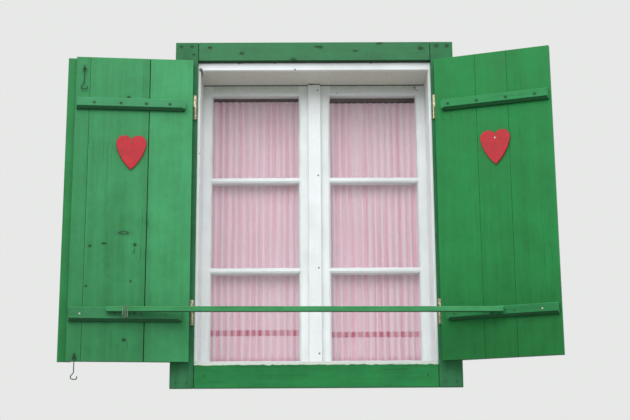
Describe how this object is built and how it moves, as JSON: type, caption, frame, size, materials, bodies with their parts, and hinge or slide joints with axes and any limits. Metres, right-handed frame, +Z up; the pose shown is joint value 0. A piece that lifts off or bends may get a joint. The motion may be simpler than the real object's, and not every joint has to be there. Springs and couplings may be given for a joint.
{
  "type": "window shutters",
  "caption": "Pair of ledged board shutters with hearts on lift-off hinges, with casing, lined reveal and curtained casement window, held open by a bar.",
  "frame": {"origin": "middle of the sill board's back face, on the plane of the wall", "axes": "+X to the right seen from the street, +Y into the wall, +Z up"},
  "size_m": [1.9872, 0.4874, 1.462],
  "materials": {
    "green_paint": "weathered green paint",
    "white_paint": "aged white paint",
    "red_paint": "red paint",
    "dark_red_paint": "dark red stain",
    "curtain_cloth": "sheer striped cloth",
    "window_glass": "clear",
    "hinge_brass": "dull brass",
    "plain_steel": "dull steel",
    "green_metal": "overpainted iron"
  },
  "bodies": {
    "root": {"casing_left_post": "green_paint", "casing_right_post": "green_paint", "casing_head_board": "green_paint", "casing_sill_board": "green_paint", "reveal_head_lining": "white_paint", "reveal_sill_lining": "white_paint", "reveal_left_lining": "white_paint", "reveal_right_lining": "white_paint", "window_frame_head": "white_paint", "window_frame_sill": "white_paint", "window_frame_left_jamb": "white_paint", "window_frame_right_jamb": "white_paint", "window_mullion": "white_paint", "frame_nails": "plain_steel", "frame_screws": "plain_steel", "shutter_hinge_frame_halves": "hinge_brass", "sash_hinge_frame_halves": "hinge_brass"},
    "left_shutter": {"left_hinge_board": "green_paint", "left_middle_board": "green_paint", "left_free_board": "green_paint", "left_cover_strip": "green_paint", "left_upper_ledge": "green_paint", "left_lower_ledge": "green_paint", "left_heart": "red_paint", "left_shutter_hinge_halves": "hinge_brass", "left_shutter_fixings": "plain_steel", "left_hook_eyes": "green_metal", "left_bar_peg": "plain_steel"},
    "right_shutter": {"right_hinge_board": "green_paint", "right_middle_board": "green_paint", "right_free_board": "green_paint", "right_upper_ledge": "green_paint", "right_lower_ledge": "green_paint", "right_heart": "red_paint", "right_shutter_hinge_halves": "hinge_brass", "right_shutter_fixings": "plain_steel", "right_bar_peg": "plain_steel"},
    "holding_bar": {"holding_bar": "green_paint", "wire_loop": "green_metal"},
    "upper_hook": {"upper_cabin_hook": "green_metal"},
    "lower_hook": {"lower_cabin_hook": "green_metal"},
    "left_sash": {"left_sash_stiles": "white_paint", "left_sash_rails": "white_paint", "left_sash_glazing_bars": "white_paint", "left_sash_glass": "window_glass", "left_curtain_batten": "dark_red_paint", "left_curtain": "curtain_cloth", "left_sash_hinge_halves": "hinge_brass", "left_sash_screws": "plain_steel"},
    "right_sash": {"right_sash_stiles": "white_paint", "right_sash_rails": "white_paint", "right_sash_glazing_bars": "white_paint", "right_sash_glass": "window_glass", "right_curtain_batten": "dark_red_paint", "right_curtain": "curtain_cloth", "right_sash_hinge_halves": "hinge_brass", "right_sash_screws": "plain_steel"},
    "turn_button": {"turn_button": "white_paint"}
  },
  "joints": [
    {"name": "left_shutter_swing", "type": "hinge", "parent": "root", "child": "left_shutter", "pos_m": [-0.498, -0.028, 0.6], "axis": [0, 0, 1], "range_deg": [0, 174]},
    {"name": "right_shutter_swing", "type": "hinge", "parent": "root", "child": "right_shutter", "pos_m": [0.498, -0.028, 0.6], "axis": [0, 0, -1], "range_deg": [0, 160.61]},
    {"name": "bar_lift_off", "type": "slide", "parent": "root", "child": "holding_bar", "axis": [0, -1, 0], "range_m": [0, 1.525]},
    {"name": "lower_hook_swing", "type": "hinge", "parent": "left_shutter", "child": "lower_hook", "pos_m": [-0.95198, -0.1112, 0.0735], "axis": [-0.9951, -0.0993, 0], "range_deg": [0, 100]},
    {"name": "upper_hook_swing", "type": "hinge", "parent": "left_shutter", "child": "upper_hook", "pos_m": [-0.95198, -0.1112, 1.2725], "axis": [-0.9951, -0.0993, 0], "range_deg": [0, 95]},
    {"name": "left_sash_swing", "type": "hinge", "parent": "root", "child": "left_sash", "pos_m": [-0.4885, 0.2365, 0.6], "axis": [0, 0, 1], "range_deg": [0, 95]},
    {"name": "right_sash_swing", "type": "hinge", "parent": "root", "child": "right_sash", "pos_m": [0.4885, 0.2365, 0.6], "axis": [0, 0, -1], "range_deg": [0, 95]},
    {"name": "turn_button_turn", "type": "hinge", "parent": "root", "child": "turn_button", "pos_m": [0, 0.235, 0.7115], "axis": [0, 1, 0], "range_deg": [0, 90]}
  ],
  "couplings": [
    {"joint": "right_shutter_swing", "follows": "left_shutter_swing", "ratio": 0.92299},
    {"joint": "bar_lift_off", "follows": "left_shutter_swing", "m_per_rad": 0.5},
    {"joint": "lower_hook_swing", "follows": "left_shutter_swing", "ratio": 0.56}
  ]
}
